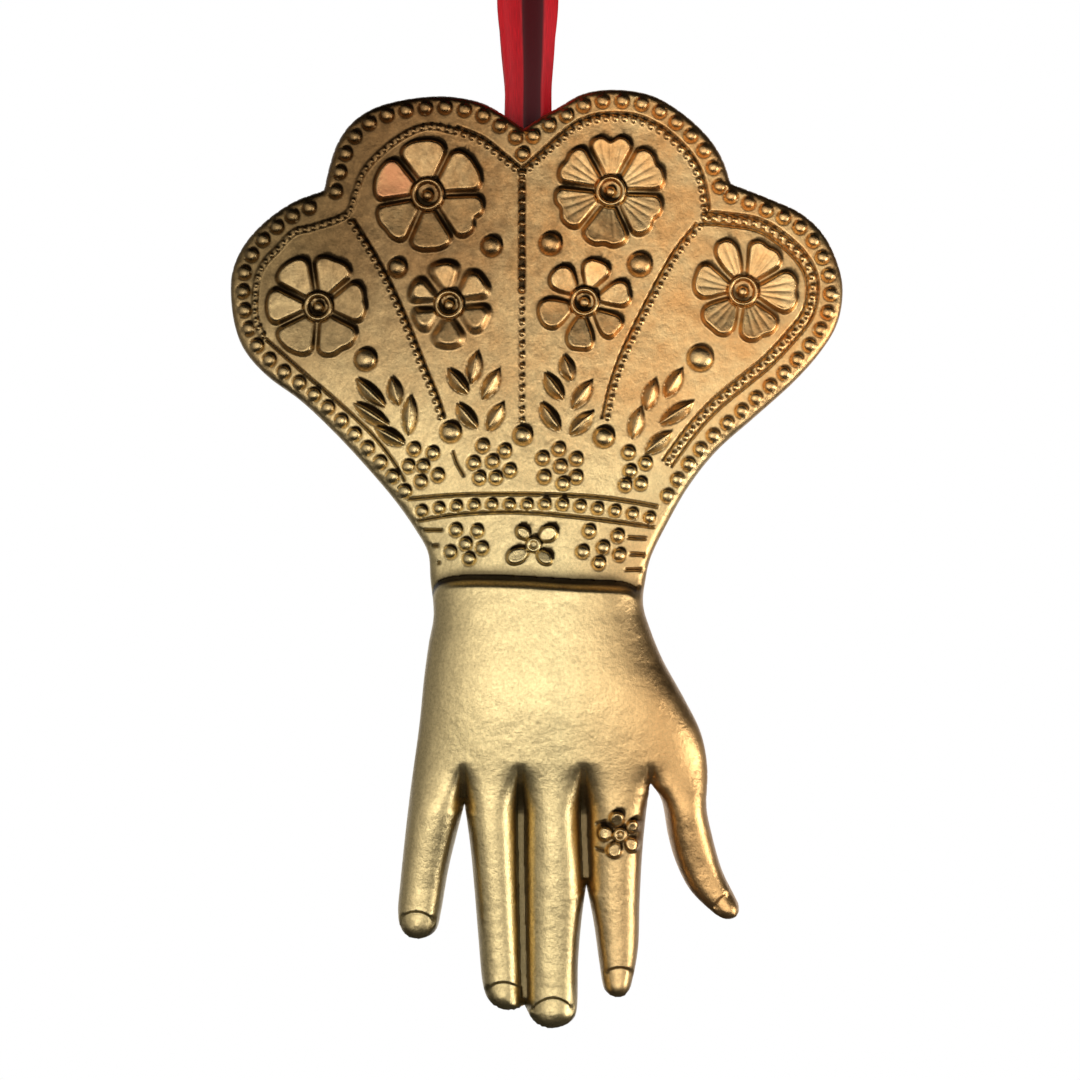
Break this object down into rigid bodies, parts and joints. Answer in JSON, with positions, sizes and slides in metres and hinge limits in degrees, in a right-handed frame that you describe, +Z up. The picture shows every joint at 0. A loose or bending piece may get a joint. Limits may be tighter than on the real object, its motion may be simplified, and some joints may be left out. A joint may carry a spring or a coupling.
{
  "type": "hanging ornament",
  "caption": "Hollow pressed brass hand with a flared, bead-edged flower cuff, hung from a red satin ribbon loop.",
  "frame": {"origin": "the point inside the top of the ribbon's loop, just under the knot, where a hook bears", "axes": "+Z up along the ribbon, away from the fingertips; the pressed face looks along -Y; +X to the right as the face is seen, towards the thumb"},
  "size_m": [0.0754, 0.0137, 0.1893],
  "materials": {
    "pressed_brass": "satin, with darker hollows",
    "brass_wire": "bright drawn wire",
    "solder": "dull tin solder",
    "red_satin": "satin ribbon"
  },
  "bodies": {
    "ribbon": {"ribbon_front_strand": "red_satin", "ribbon_back_strand": "red_satin", "ribbon_knot": "red_satin", "ribbon_tail_left": "red_satin", "ribbon_tail_right": "red_satin"},
    "ring": {"jump_ring": "brass_wire"},
    "hand": {"pressed_hand": "pressed_brass", "hanging_eye": "brass_wire", "solder_upper": "solder", "solder_lower": "solder"}
  },
  "joints": [
    {"name": "ring_turn", "type": "hinge", "parent": "ribbon", "child": "ring", "pos_m": [0, 0, -0.0615], "axis": [0, 1, 0], "range_deg": [-25, 25]},
    {"name": "hand_tilt", "type": "hinge", "parent": "ring", "child": "hand", "pos_m": [0, 0, -0.065], "axis": [1, 0, 0], "range_deg": [-2, 80]}
  ]
}
